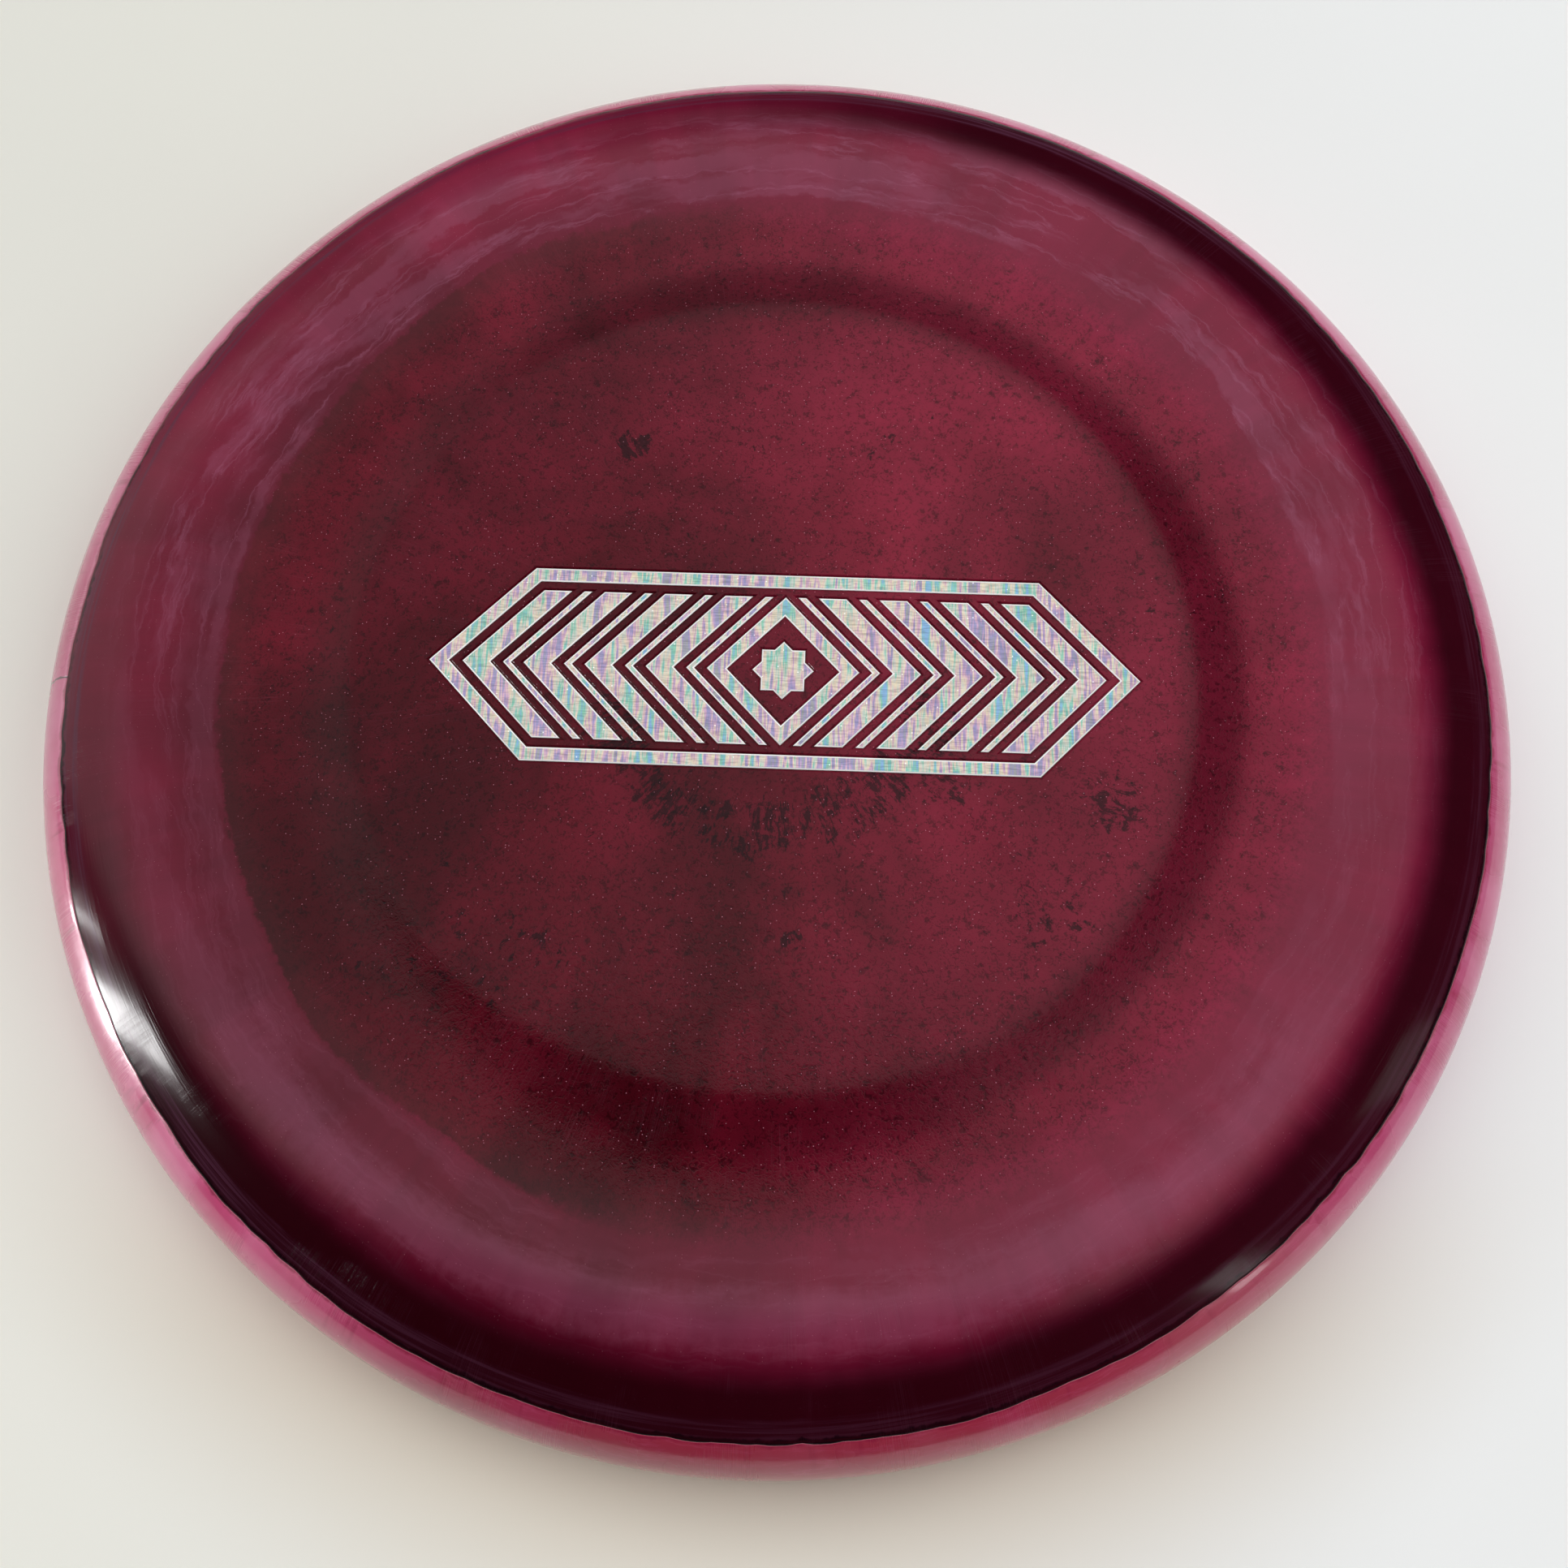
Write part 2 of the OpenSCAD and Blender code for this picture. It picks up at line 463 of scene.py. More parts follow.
def makeGroup(name, inputs, outputs, build):
    tree = bpy.data.node_groups.new(name, "ShaderNodeTree")
    for label, value in inputs.items():
        socket = tree.interface.new_socket(label, in_out="INPUT", socket_type="NodeSocketFloat")
        socket.default_value = value
    for label in outputs:
        tree.interface.new_socket(label, in_out="OUTPUT", socket_type="NodeSocketFloat")
    entry = tree.nodes.new("NodeGroupInput")
    leave = tree.nodes.new("NodeGroupOutput")
    results = build(tree, {label: entry.outputs[label] for label in inputs})
    for label, socket in results.items():
        tree.links.new(socket, leave.inputs[label])
    return tree


def place(tree, group, **values):
    node = tree.nodes.new("ShaderNodeGroup")
    node.node_tree = group
    for label, value in values.items():
        if isinstance(value, bpy.types.NodeSocket):
            tree.links.new(value, node.inputs[label])
        else:
            node.inputs[label].default_value = value
    return node.outputs


# effects that several materials share
def buildWisps(tree, given):
    # thin torn lines and soft clouds that run round the disc
    polar = Polar(tree)
    calm = noise(tree, polar.turned(given["Around"], 0.0, 3.0), 1.0, 3.0, 0.6)
    bend = swing(tree, calm, given["Bend"])
    tear = noise(tree, polar.turned(26.0, 0.35, given["Seed"]), 1.0, 3.0, 0.65)
    bend = plus(tree, bend, swing(tree, tear, given["Tear"]))
    lane = plus(tree, polar.radius, bend)
    lane = plus(tree, times(tree, lane, given["Across"]), given["Seed"])
    where = vector3(
        tree,
        times(tree, polar.dirX, given["Around"]),
        times(tree, polar.dirY, given["Around"]),
        lane,
    )
    cloud = noise(tree, where, 1.0, 4.0, 0.55)
    return {"Wisps": ridge(tree, cloud, 34.0), "Clouds": cloud}


def buildScratches(tree, given):
    # hair-fine scratches that run outwards
    polar = Polar(tree)
    fine = noise(tree, polar.turned(given["Count"], 0.02, given["Seed"]), 1.0, 1.0, 0.5)
    lines = ridge(tree, fine, 30.0)
    broken = noise(tree, polar.turned(9.0, 0.12, 7.0), 1.0, 2.0)
    return {"Scratches": times(tree, lines, ease(tree, broken, 0.5, 0.62))}


def buildGrain(tree, given):
    # worm-like moulded grain, with its deepest pits given apart
    where = addNode(tree, "TexCoord").outputs["Object"]
    size = maths(tree, "DIVIDE", 1000.0, given["Size"])
    worms = ridge(tree, noise(tree, where, size, 1.0, 0.4, 0.9), 2.2)
    lumps = noise(tree, where, times(tree, size, 0.45), 2.0, 0.5)
    height = plus(tree, times(tree, worms, 0.6), times(tree, lumps, 0.7))
    return {"Height": height, "Pits": ease(tree, lumps, 0.38, 0.25)}


def buildFlecks(tree, given):
    # tiny round specks, a share of all cells, scattered at random
    where = addNode(tree, "TexCoord").outputs["Object"]
    scale = maths(tree, "DIVIDE", 1000.0, given["Spacing"])
    cells = addNode(tree, "TexVoronoi", {"Vector": where, "Scale": scale}, feature="F1")
    chance = addNode(tree, "SeparateXYZ", {0: cells.outputs["Color"]}).outputs[0]
    chosen = maths(tree, "LESS_THAN", chance, given["Share"])
    radius = maths(tree, "DIVIDE", given["Size"], given["Spacing"])
    spot = ease(tree, cells.outputs["Distance"], radius, times(tree, radius, 0.5))
    return {"Flecks": times(tree, spot, chosen)}


def buildInk(tree, given):
    # torn dark blots, drawn out from the middle, where the mask lets them show
    polar = Polar(tree)
    where = addNode(tree, "TexCoord").outputs["Object"]
    drawn = noise(tree, polar.turned(given["Around"], 0.45, 3.0), 1.0, 5.0, 0.7, 0.5)
    torn = noise(tree, where, given["Scale"], 5.0, 0.7, 0.5)
    blots = plus(tree, times(tree, drawn, 0.45), times(tree, torn, 0.55))
    cut = minus(tree, 0.635, times(tree, given["Mask"], 0.19))
    shown = ease(tree, blots, cut, plus(tree, cut, 0.06))
    return {"Ink": times(tree, shown, ease(tree, given["Mask"], 0.02, 0.15))}


wispGroup = makeGroup(
    "agateWisps",
    {"Around": 3.0, "Across": 0.35, "Bend": 3.0, "Tear": 2.0, "Seed": 0.0},
    ["Wisps", "Clouds"],
    buildWisps,
)
scratchGroup = makeGroup("hairScratches", {"Count": 300.0, "Seed": 0.0}, ["Scratches"], buildScratches)
grainGroup = makeGroup("mouldGrain", {"Size": 0.6}, ["Height", "Pits"], buildGrain)
fleckGroup = makeGroup("tinyFlecks", {"Spacing": 2.0, "Size": 0.12, "Share": 0.5}, ["Flecks"], buildFlecks)
inkGroup = makeGroup("inkMarks", {"Scale": 60.0, "Around": 40.0, "Mask": 0.0}, ["Ink"], buildInk)


def newMaterial(name):
    material = bpy.data.materials.new(name)
    material.use_nodes = True
    tree = material.node_tree
    tree.nodes.clear()
    shader = addNode(tree, "BsdfPrincipled")
    output = addNode(tree, "OutputMaterial")
    tree.links.new(shader.outputs[0], output.inputs[0])
    return material, tree, shader


# plate plastic
plateLook = {
    "deep": (58, 5, 15),
    "mid": (82, 9, 25),
    "light": (124, 27, 52),
    "outerDeep": (90, 11, 35),
    "outerLight": (122, 22, 54),
    "wisp": (156, 88, 118),
    # dark ink, also used for the painted shade in the grain's pits
    "ink": (18, 2, 8),
    # painted shade: the dark tone the edge takes towards the right and near side
    "seam": (30, 0, 5),
    "streak": (84, 44, 66),
    # painted glints on the grain
    "speck": (196, 124, 146),
    "glossEdge": 79.0,      # radius where the grained middle ends, in millimetres
    "toneAlong": [0.005, 0.0022],       # lighter per millimetre to the right and to the far side
    "paleMiddle": [34.0, 56.0, 1.12, 0.9],      # from and to a radius, tone at both; the fall between them is painted shade towards the groove
    "glow": [30.0, 20.0, 42.0, 0.28],   # x, y and size of a paler place, and how much
    "leftSide": [-0.92, 0.38],          # the direction that is paler outside the groove: painted light
    "leftSlope": [60.0, 68.0, 0.3],     # radii it grows over, and how much
    "leftShoulder": [80.0, 88.0, 0.5],
    "hollow": [62.2, 2.2, 4.5, -0.42],  # painted shade ring: radius, half its width, softness, how much
    "hollowSide": [0.8, 0.2],
    # painted sheen: radius, half its width, softness, how much
    "nearBand": [86.5, 1.0, 4.0, 0.24],
    "smudgeRing": [23.0, 2.2, 5.0],
    "edgeSide": [0.82, -0.57],          # the direction where painted shade darkens the edge most
    "edgeReach": [11.5, 5.5, 0.0, 0.9],
    "clouds": 0.24,
    "lines": 0.34,
    "rays": 0.26,
    "inkDepth": 0.78,
    "bump": [0.8, 0.00003],             # strength and distance
    "innerRough": 0.14,
    "outerRough": 0.14,
    "specular": 0.08,
    "coat": 0.105,
    "coatRough": 0.09,
}
inkSpots = [                # x, y, size and strength of the larger dark marks, in millimetres
    (-21.7, 34.7, 4.0, 0.95),
    (24.4, -15.8, 6.5, 0.7),
    (47.1, -18.2, 7.0, 0.75),
    (13.9, 34.2, 7.0, 0.5),
    (38.1, -34.0, 9.0, 0.6),
    (-49.5, -40.5, 13.0, 0.45),
    (4.1, -38.5, 2.2, 0.9),
    (-17.2, -19.0, 6.0, 0.6),
]


def makePlateMaterial(look):
    material, tree, shader = newMaterial("plateMaroon")
    polar = Polar(tree)
    gap = addNode(tree, "Attribute", attribute_name="seamGap").outputs["Fac"]
    colour = {k: fromScreen(*v) for k, v in look.items() if isinstance(v, tuple)}

    wide = noise(tree, polar.place, 16.0, 4.0, 0.55, 0.4)
    small = noise(tree, polar.place, 55.0, 4.0, 0.6, 0.8)
    mottle = plus(tree, times(tree, wide, 0.6), times(tree, small, 0.4))
    base = mixColour(tree, ease(tree, mottle, 0.38, 0.58), colour["deep"], colour["mid"])
    # lighter and redder to the right and the far side, deeper at the near left
    right, far = look["toneAlong"]
    lean = plus(tree, times(tree, polar.x, right), times(tree, polar.y, far))
    lean = plus(tree, lean, swing(tree, wide, 1.5))
    base = mixColour(tree, ease(tree, lean, -0.25, 0.6, 0.0, 0.85), base, colour["light"])

    # paler in the middle and to its right, then darker where the flat ends: painted shade leading into the
    # groove
    base = shaded(tree, base, ease(tree, polar.radius, *look["paleMiddle"]))
    x, y, size, gain = look["glow"]
    base = lifted(tree, base, polar.spot(x, y, size, 0.85), gain)
    # painted light: paler on the left, on the slope into the groove
    paintedLight = ease(tree, polar.facing(*look["leftSide"]), 0.4, 0.9)
    start, end, gain = look["leftSlope"]
    base = lifted(tree, base, times(tree, paintedLight, ease(tree, polar.radius, start, end)), gain)

    # outer band, with clouds and torn lines running round
    bands = place(tree, wispGroup, Around=2.6, Across=0.22, Bend=5.0, Tear=3.2, Seed=4.0)
    ragged = swing(tree, bands["Clouds"], 7.0)
    edge = plus(tree, polar.radius, ragged)
    torn = noise(tree, polar.turned(60.0, 0.5, 6.0), 1.0, 4.0, 0.7)
    step = plus(tree, edge, swing(tree, torn, 2.6))
    # the band starts sharply on the left and softly on the right
    gloss = look["glossEdge"]
    inside = ease(tree, polar.dirX, -0.5, 0.3, gloss - 1.2, gloss - 11.0)
    outside = ease(tree, polar.dirX, -0.5, 0.3, gloss - 0.4, gloss + 2.0)
    outer = ease(tree, step, inside, outside)
    clean = ease(tree, polar.radius, gloss - 9.0, gloss + 1.0)
    ringTone = mixColour(tree, ease(tree, lean, -0.5, 0.5), colour["outerDeep"], colour["outerLight"])
    base = mixColour(tree, outer, base, ringTone)
    # painted light: paler on the left shoulder
    start, end, gain = look["leftShoulder"]
    base = lifted(tree, base, times(tree, paintedLight, ease(tree, polar.radius, start, end)), gain)
    soft = ease(tree, bands["Clouds"], 0.45, 0.6)
    beyond = ease(tree, edge, gloss - 0.5, gloss + 0.6)
    wispZone = times(tree, beyond, ease(tree, polar.radius, 97.0, 90.0))
    sideFade = ease(tree, polar.y, -30.0, 50.0, 0.22, 1.0)
    clouds = times(tree, times(tree, soft, wispZone), times(tree, sideFade, look["clouds"]))
    base = mixColour(tree, clouds, base, colour["wisp"])
    lines = place(tree, wispGroup, Around=2.2, Across=0.3, Bend=9.0, Tear=2.0, Seed=11.0)
    lines = times(tree, times(tree, lines["Wisps"], wispZone), sideFade)
    base = mixColour(tree, times(tree, lines, look["lines"]), base, colour["wisp"])
    # painted sheen: a soft pale band on the near side, standing in for a reflection
    *where, gain = look["nearBand"]
    nearBand = times(tree, strip(tree, step, *where), ease(tree, polar.dirY, -0.3, -0.75))
    base = mixColour(tree, times(tree, nearBand, gain), base, colour["wisp"])
    # broad rays of tone drawn outwards
    rays = noise(tree, polar.turned(7.0, 0.02, 1.0), 1.0, 4.0, 0.65)
    fadeIn = ease(tree, polar.radius, 20.0, 70.0, 0.0, 1.0)
    rays = swing(tree, ease(tree, rays, 0.3, 0.7), fadeIn)
    base = lifted(tree, base, rays, look["rays"])
    # painted shade: the start of the groove is darkened where a dark reflection falls, most of all on the
    # right
    *where, gain = look["hollow"]
    hollow = strip(tree, polar.radius, *where)
    hollow = times(tree, hollow, ease(tree, polar.facing(*look["hollowSide"]), -0.5, 0.4, 0.25, 1.0))
    base = lifted(tree, base, hollow, gain)

    # ink: a smudged ring round the middle, single spots, and faint clumps
    wobble = swing(tree, small, 10.0)
    ring = strip(tree, plus(tree, polar.radius, wobble), *look["smudgeRing"])
    mask = times(tree, ring, ease(tree, polar.dirY, 0.45, -0.5, 0.3, 0.8))
    for x, y, size, strength in inkSpots:
        spot = times(tree, polar.spot(x, y, size), strength)
        mask = maths(tree, "MAXIMUM", mask, spot)
    clumps = noise(tree, polar.place, 38.0, 3.0, 0.6)
    clumps = ease(tree, clumps, 0.5, 0.72, 0.0, ease(tree, polar.y, 35.0, -25.0, 0.36, 0.6))
    middle = ease(tree, polar.radius, 80.0, 62.0)
    mask = maths(tree, "MAXIMUM", mask, times(tree, clumps, middle))
    ink = place(tree, inkGroup, Scale=420.0, Around=48.0, Mask=mask)["Ink"]
    base = mixColour(tree, times(tree, ink, look["inkDepth"]), base, colour["ink"])

    # specks, pale and dark, mostly on the grained part; the pale ones are painted glints
    inner = minus(tree, 1.0, clean)
    pale = place(tree, fleckGroup, Spacing=0.6, Size=0.085, Share=0.42)["Flecks"]
    pale = times(tree, pale, ease(tree, inner, 0.0, 1.0, 0.22, 0.6))
    base = mixColour(tree, pale, base, colour["speck"])
    dark = place(tree, fleckGroup, Spacing=1.0, Size=0.14, Share=0.36)["Flecks"]
    dark = times(tree, dark, ease(tree, inner, 0.0, 1.0, 0.12, 0.34))
    base = mixColour(tree, dark, base, colour["ink"])

    # the edge: painted shade that deepens its tone towards the right and near side, a streaky grey band,
    # then a dark line at the seam itself
    side = polar.facing(*look["edgeSide"])
    paintedEdgeShade = times(tree, ease(tree, gap, *look["edgeReach"]), ease(tree, side, -0.95, -0.25, 0.0, 1.0))
    base = mixColour(tree, paintedEdgeShade, base, colour["seam"])
    streaks = noise(tree, polar.turned(70.0, 0.5, 2.0), 1.0, 3.0, 0.6)
    lanes = noise(tree, polar.turned(4.0, 2.2, 5.0), 1.0, 3.0, 0.6)
    band = times(tree, strip(tree, gap, 1.7, 0.7, 0.9), ease(tree, lanes, 0.42, 0.66, 0.1, 0.7))
    band = times(tree, band, ease(tree, side, 0.6, -0.3, 0.35, 1.0))
    base = mixColour(tree, band, base, colour["streak"])
    thin = plus(tree, gap, swing(tree, streaks, 1.4))
    line = times(tree, ease(tree, thin, 0.8, 0.4), ease(tree, lanes, 0.4, 0.6, 0.35, 0.85))
    base = mixColour(tree, line, base, colour["ink"])

    # grain and scratches, as tone and as height; the grain's tone is painted shade in its pits and low
    # parts and painted light on its tops
    grain = place(tree, grainGroup, Size=0.62)
    scratches = place(tree, scratchGroup, Count=330.0, Seed=2.0)["Scratches"]
    base = mixColour(tree, times(tree, scratches, 0.04), base, colour["wisp"])
    pitShade = times(tree, times(tree, grain["Pits"], inner), 0.34)
    base = mixColour(tree, pitShade, base, colour["ink"])
    grainShade = times(tree, minus(tree, grain["Height"], 0.62), inner)
    base = shaded(tree, base, ease(tree, grainShade, -0.2, 0.2, 0.7, 1.34))
    rough = ease(tree, clean, 0.0, 1.0, look["innerRough"], look["outerRough"])
    rough = plus(tree, rough, times(tree, scratches, 0.05))
    height = times(tree, grain["Height"], ease(tree, inner, 0.0, 1.0, 0.04, 1.0))
    height = minus(tree, height, times(tree, scratches, 0.2))
    turning = noise(tree, polar.turned(5.0, 3.4, 9.0), 1.0, 2.0, 0.6)
    turning = times(tree, turning, ease(tree, polar.radius, 90.0, 96.0, 0.0, 0.9))
    height = plus(tree, height, turning)
    strength, distance = look["bump"]
    bump = addNode(tree, "Bump", {"Height": height, "Strength": strength, "Distance": distance})
    tree.links.new(base, shader.inputs["Base Color"])
    tree.links.new(rough, shader.inputs["Roughness"])
    tree.links.new(bump.outputs[0], shader.inputs["Normal"])
    tree.links.new(ease(tree, clean, 0.0, 1.0, 0.02, look["coat"]), shader.inputs["Coat Weight"])
    shader.inputs["Coat Roughness"].default_value = look["coatRough"]
    shader.inputs["Specular IOR Level"].default_value = look["specular"]
    return material


# rim plastic
rimLook = {
    "pink": (190, 68, 114),
    "pale": (208, 102, 144),
    # painted shade: the near side's darker, warmer tone
    "warm": (148, 30, 44),
    "stain": (138, 22, 58),
    "crack": (48, 8, 20),
    "nearSide": [0.15, -1.0],       # the direction that is warmer and darker: painted shade
    "nearLeft": [-0.8, -0.6],       # the direction that is paler: painted light
    "rough": 0.26,
    "specular": 0.4,
    "coat": 0.6,
    "coatRough": 0.08,
    "crackAt": -178.0,      # degrees round from the right-hand side
}


def makeRimMaterial(look):
    material, tree, shader = newMaterial("rimPink")
    polar = Polar(tree)
    gap = addNode(tree, "Attribute", attribute_name="seamGap").outputs["Fac"]
    colour = {k: fromScreen(*v) for k, v in look.items() if isinstance(v, tuple)}
    wide = noise(tree, polar.turned(6.0, 0.05, 1.0), 1.0, 4.0, 0.55)
    base = mixColour(tree, ease(tree, wide, 0.4, 0.64), colour["pink"], colour["pale"])
    # painted shade: a darker, warmer tone on the near side
    nearShadeMask = plus(tree, polar.facing(*look["nearSide"]), times(tree, wide, 0.6))
    base = mixColour(tree, ease(tree, nearShadeMask, 0.95, 1.3, 0.0, 0.82), base, colour["warm"])
    # painted light: paler towards the near left
    base = shaded(tree, base, ease(tree, polar.facing(*look["nearLeft"]), 0.84, 0.97, 1.0, 1.38))
    # painted shade: darker towards the right
    base = shaded(tree, base, ease(tree, polar.dirX, 0.55, 0.95, 1.0, 0.78))
    # stains drawn outwards across the edge, and thin paler lines along it
    across = noise(tree, polar.turned(42.0, 0.06, 8.0), 1.0, 3.0, 0.6)
    stains = ease(tree, across, 0.56, 0.72)
    fade = ease(tree, gap, 5.0, 0.3, 0.15, 1.0)
    base = mixColour(tree, times(tree, times(tree, stains, fade), 0.5), base, colour["stain"])
    along = place(tree, wispGroup, Around=9.0, Across=1.1, Bend=1.2, Tear=0.6, Seed=21.0)
    base = mixColour(tree, times(tree, along["Wisps"], 0.16), base, colour["pale"])
    bleed = plus(tree, gap, swing(tree, across, 1.2))
    base = mixColour(tree, ease(tree, bleed, 0.5, 0.05, 0.0, 0.75), base, colour["stain"])
    flecks = place(tree, fleckGroup, Spacing=3.4, Size=0.2, Share=0.2)["Flecks"]
    base = mixColour(tree, times(tree, flecks, 0.45), base, colour["stain"])
    # one hairline crack across the edge
    angle = maths(tree, "ARCTAN2", polar.y, polar.x)
    wander = swing(tree, noise(tree, polar.place, 420.0, 2.0), 0.012)
    angle = plus(tree, angle, wander)
    crack = strip(tree, angle, math.radians(look["crackAt"]), 0.0009, 0.0014)
    crack = times(tree, crack, ease(tree, polar.z, 8.5, 10.5))
    base = mixColour(tree, times(tree, crack, 0.9), base, colour["crack"])

    scratches = place(tree, scratchGroup, Count=520.0, Seed=6.0)["Scratches"]
    grain = place(tree, grainGroup, Size=1.4)["Height"]
    rough = ease(tree, wide, 0.3, 0.7, look["rough"] - 0.05, look["rough"] + 0.07)
    rough = plus(tree, rough, times(tree, scratches, 0.2))
    height = minus(tree, times(tree, grain, 0.25), times(tree, scratches, 0.3))
    height = minus(tree, height, times(tree, crack, 1.2))
    bump = addNode(tree, "Bump", {"Height": height, "Strength": 0.5, "Distance": 0.00006})
    tree.links.new(base, shader.inputs["Base Color"])
    tree.links.new(rough, shader.inputs["Roughness"])
    tree.links.new(bump.outputs[0], shader.inputs["Normal"])
    shader.inputs["Coat Weight"].default_value = look["coat"]
    shader.inputs["Coat Roughness"].default_value = look["coatRough"]
    shader.inputs["Specular IOR Level"].default_value = look["specular"]
    return material


# foil
foilLook = {
    "stops": [              # tone of the film as the streaks run through it
        (0.22, (140, 186, 232)),
        (0.33, (140, 214, 186)),
        (0.42, (222, 222, 218)),
        (0.50, (246, 232, 202)),
        (0.58, (230, 186, 212)),
        (0.68, (170, 164, 218)),
        (0.80, (180, 182, 184)),
    ],
    # painted highlight: white along the edge of each piece
    "edge": (250, 250, 250),
    "rough": 0.4,
    "metal": 0.4,
    "level": (0.5, 0.78),   # dark and bright of the fine ripples
}


def makeFoilMaterial(look):
    material, tree, shader = newMaterial("silverFoil")
    polar = Polar(tree)
    edge = addNode(tree, "Attribute", attribute_name="edgeLine").outputs["Fac"]
    broad = noise(tree, polar.stretched(0.3, 0.02), 1.0, 3.0, 0.75)
    fine = noise(tree, polar.stretched(1.0, 0.1, 4.0), 1.0, 3.0, 0.7, 0.3)
    tone = plus(tree, times(tree, broad, 0.5), times(tree, fine, 0.5))
    ramp = addNode(tree, "ValToRGB", {0: ease(tree, tone, 0.32, 0.68, 0.14, 0.86)})
    steps = ramp.color_ramp.elements
    for index, (spot, shade) in enumerate(look["stops"]):
        step = steps[index] if index < 2 else steps.new(spot)
        step.position = spot
        step.color = fromScreen(*shade)
    ripple = noise(tree, polar.stretched(0.5, 4.2), 1.0, 2.0, 0.6, 0.4)
    base = shaded(tree, ramp.outputs[0], ease(tree, ripple, 0.3, 0.62, *look["level"]))
    glints = place(tree, fleckGroup, Spacing=0.7, Size=0.14, Share=0.2)["Flecks"]
    base = mixColour(tree, times(tree, glints, 0.7), base, fromScreen(255, 255, 255))
    # painted highlight along the edge line of each piece, with less metal
    edgeHighlight = ease(tree, edge, 0.25, 0.6)
    base = mixColour(tree, edgeHighlight, base, fromScreen(*look["edge"]))
    grain = place(tree, grainGroup, Size=0.5)["Height"]
    height = plus(tree, times(tree, ripple, 0.5), times(tree, grain, 0.3))
    bump = addNode(tree, "Bump", {"Height": height, "Strength": 0.4, "Distance": 0.00005})
    rough = ease(tree, fine, 0.3, 0.7, look["rough"] - 0.08, look["rough"] + 0.1)
    tree.links.new(base, shader.inputs["Base Color"])
    tree.links.new(rough, shader.inputs["Roughness"])
    tree.links.new(ease(tree, edgeHighlight, 0.0, 1.0, look["metal"], 0.1), shader.inputs["Metallic"])
    tree.links.new(bump.outputs[0], shader.inputs["Normal"])
    return material


plateMaterial = makePlateMaterial(plateLook)
rimMaterial = makeRimMaterial(rimLook)
foilMaterial = makeFoilMaterial(foilLook)
print("materials made")


# the plate
def spread(first, last, count):
    # radii after the first one, up to and including the last
    return [first + (last - first) * (i + 1) / count for i in range(count)]


farGap = 60.0       # marks surfaces that lie away from the seam


def makePlate(s, material):
    bm = bmesh.new()
    layer = bm.verts.layers.float.new("seamGap")
    fromSeam = lambda r, seam: seam - r
    far = lambda r, seam: farGap
    start = s["flatR"] - s["softEdge"] - 0.4
    grooveR = s["flatR"] + s["grooveRun"]
    radii = [start]
    radii += spread(start, s["flatR"] + s["softEdge"], 8)
    radii += spread(radii[-1], grooveR, 8)
    radii += spread(grooveR, s["crestR"], 18)
    rings = [addRing(bm, layer, lambda seam, r=r: (r, topZ(r)), fromSeam) for r in radii]
    crown = s["crestR"]
    for part in spread(0.0, 1.0, 18):
        def onShoulder(seam, part=part):
            r = crown + (seam - s["rollWidth"] - crown) * part
            return r, topZ(r)
        rings.append(addRing(bm, layer, onShoulder, fromSeam))
    for back, drop in ((0.1, 0.35), (0.0, 1.0)):
        def onRoll(seam, back=back, drop=drop):
            r = seam - back
            return r, topZ(r) - s["edgeRoll"] * drop
        rings.append(addRing(bm, layer, onRoll, fromSeam))
    seatZ = haunchZ(s["lipR"]) + s["lipThick"]
    rings.append(addRing(bm, layer, lambda seam: (seam - s["edgeLean"], seatZ), far))
    rings.append(addRing(bm, layer, lambda seam: (s["lipR"], seatZ), far))
    for r in [s["lipR"]] + spread(s["lipR"], s["haunchR"], 10) + [70.0, 45.0, 20.0, 4.0]:
        rings.append(addRing(bm, layer, lambda seam, r=r: (r, haunchZ(r)), far))
    for inner, outer in zip(rings, rings[1:]):
        joinRings(bm, inner, outer)
    hub = bm.verts.new((0, 0, s["underZ"] * mm))
    hub[layer] = farGap
    last = rings[-1]
    for step in range(segments):
        bm.faces.new((last[step], hub, last[(step + 1) % segments]))

    # the flat, with a recess that follows every outline of the foil
    f = foilShape
    rims, floors = [], []
    for loops in outlines.values():
        for loop in loops:
            wide, close = offsetLoop(loop, f["gap"] + f["recessRoll"]), offsetLoop(loop, f["gap"])
            top = addLoop(bm, layer, wide, s["flatZ"], farGap)
            roll = addLoop(bm, layer, close, s["flatZ"] - f["recessRoll"] * 0.7, farGap)
            low = addLoop(bm, layer, close, foilLowZ, farGap)
            bridge(bm, roll, top)
            bridge(bm, low, roll)
            rims.append(top)
            floors.append(low)
    fillBetween(bm, [rings[0]] + rims)
    fillBetween(bm, floors)
    return finishMesh(bm, "plate", material)


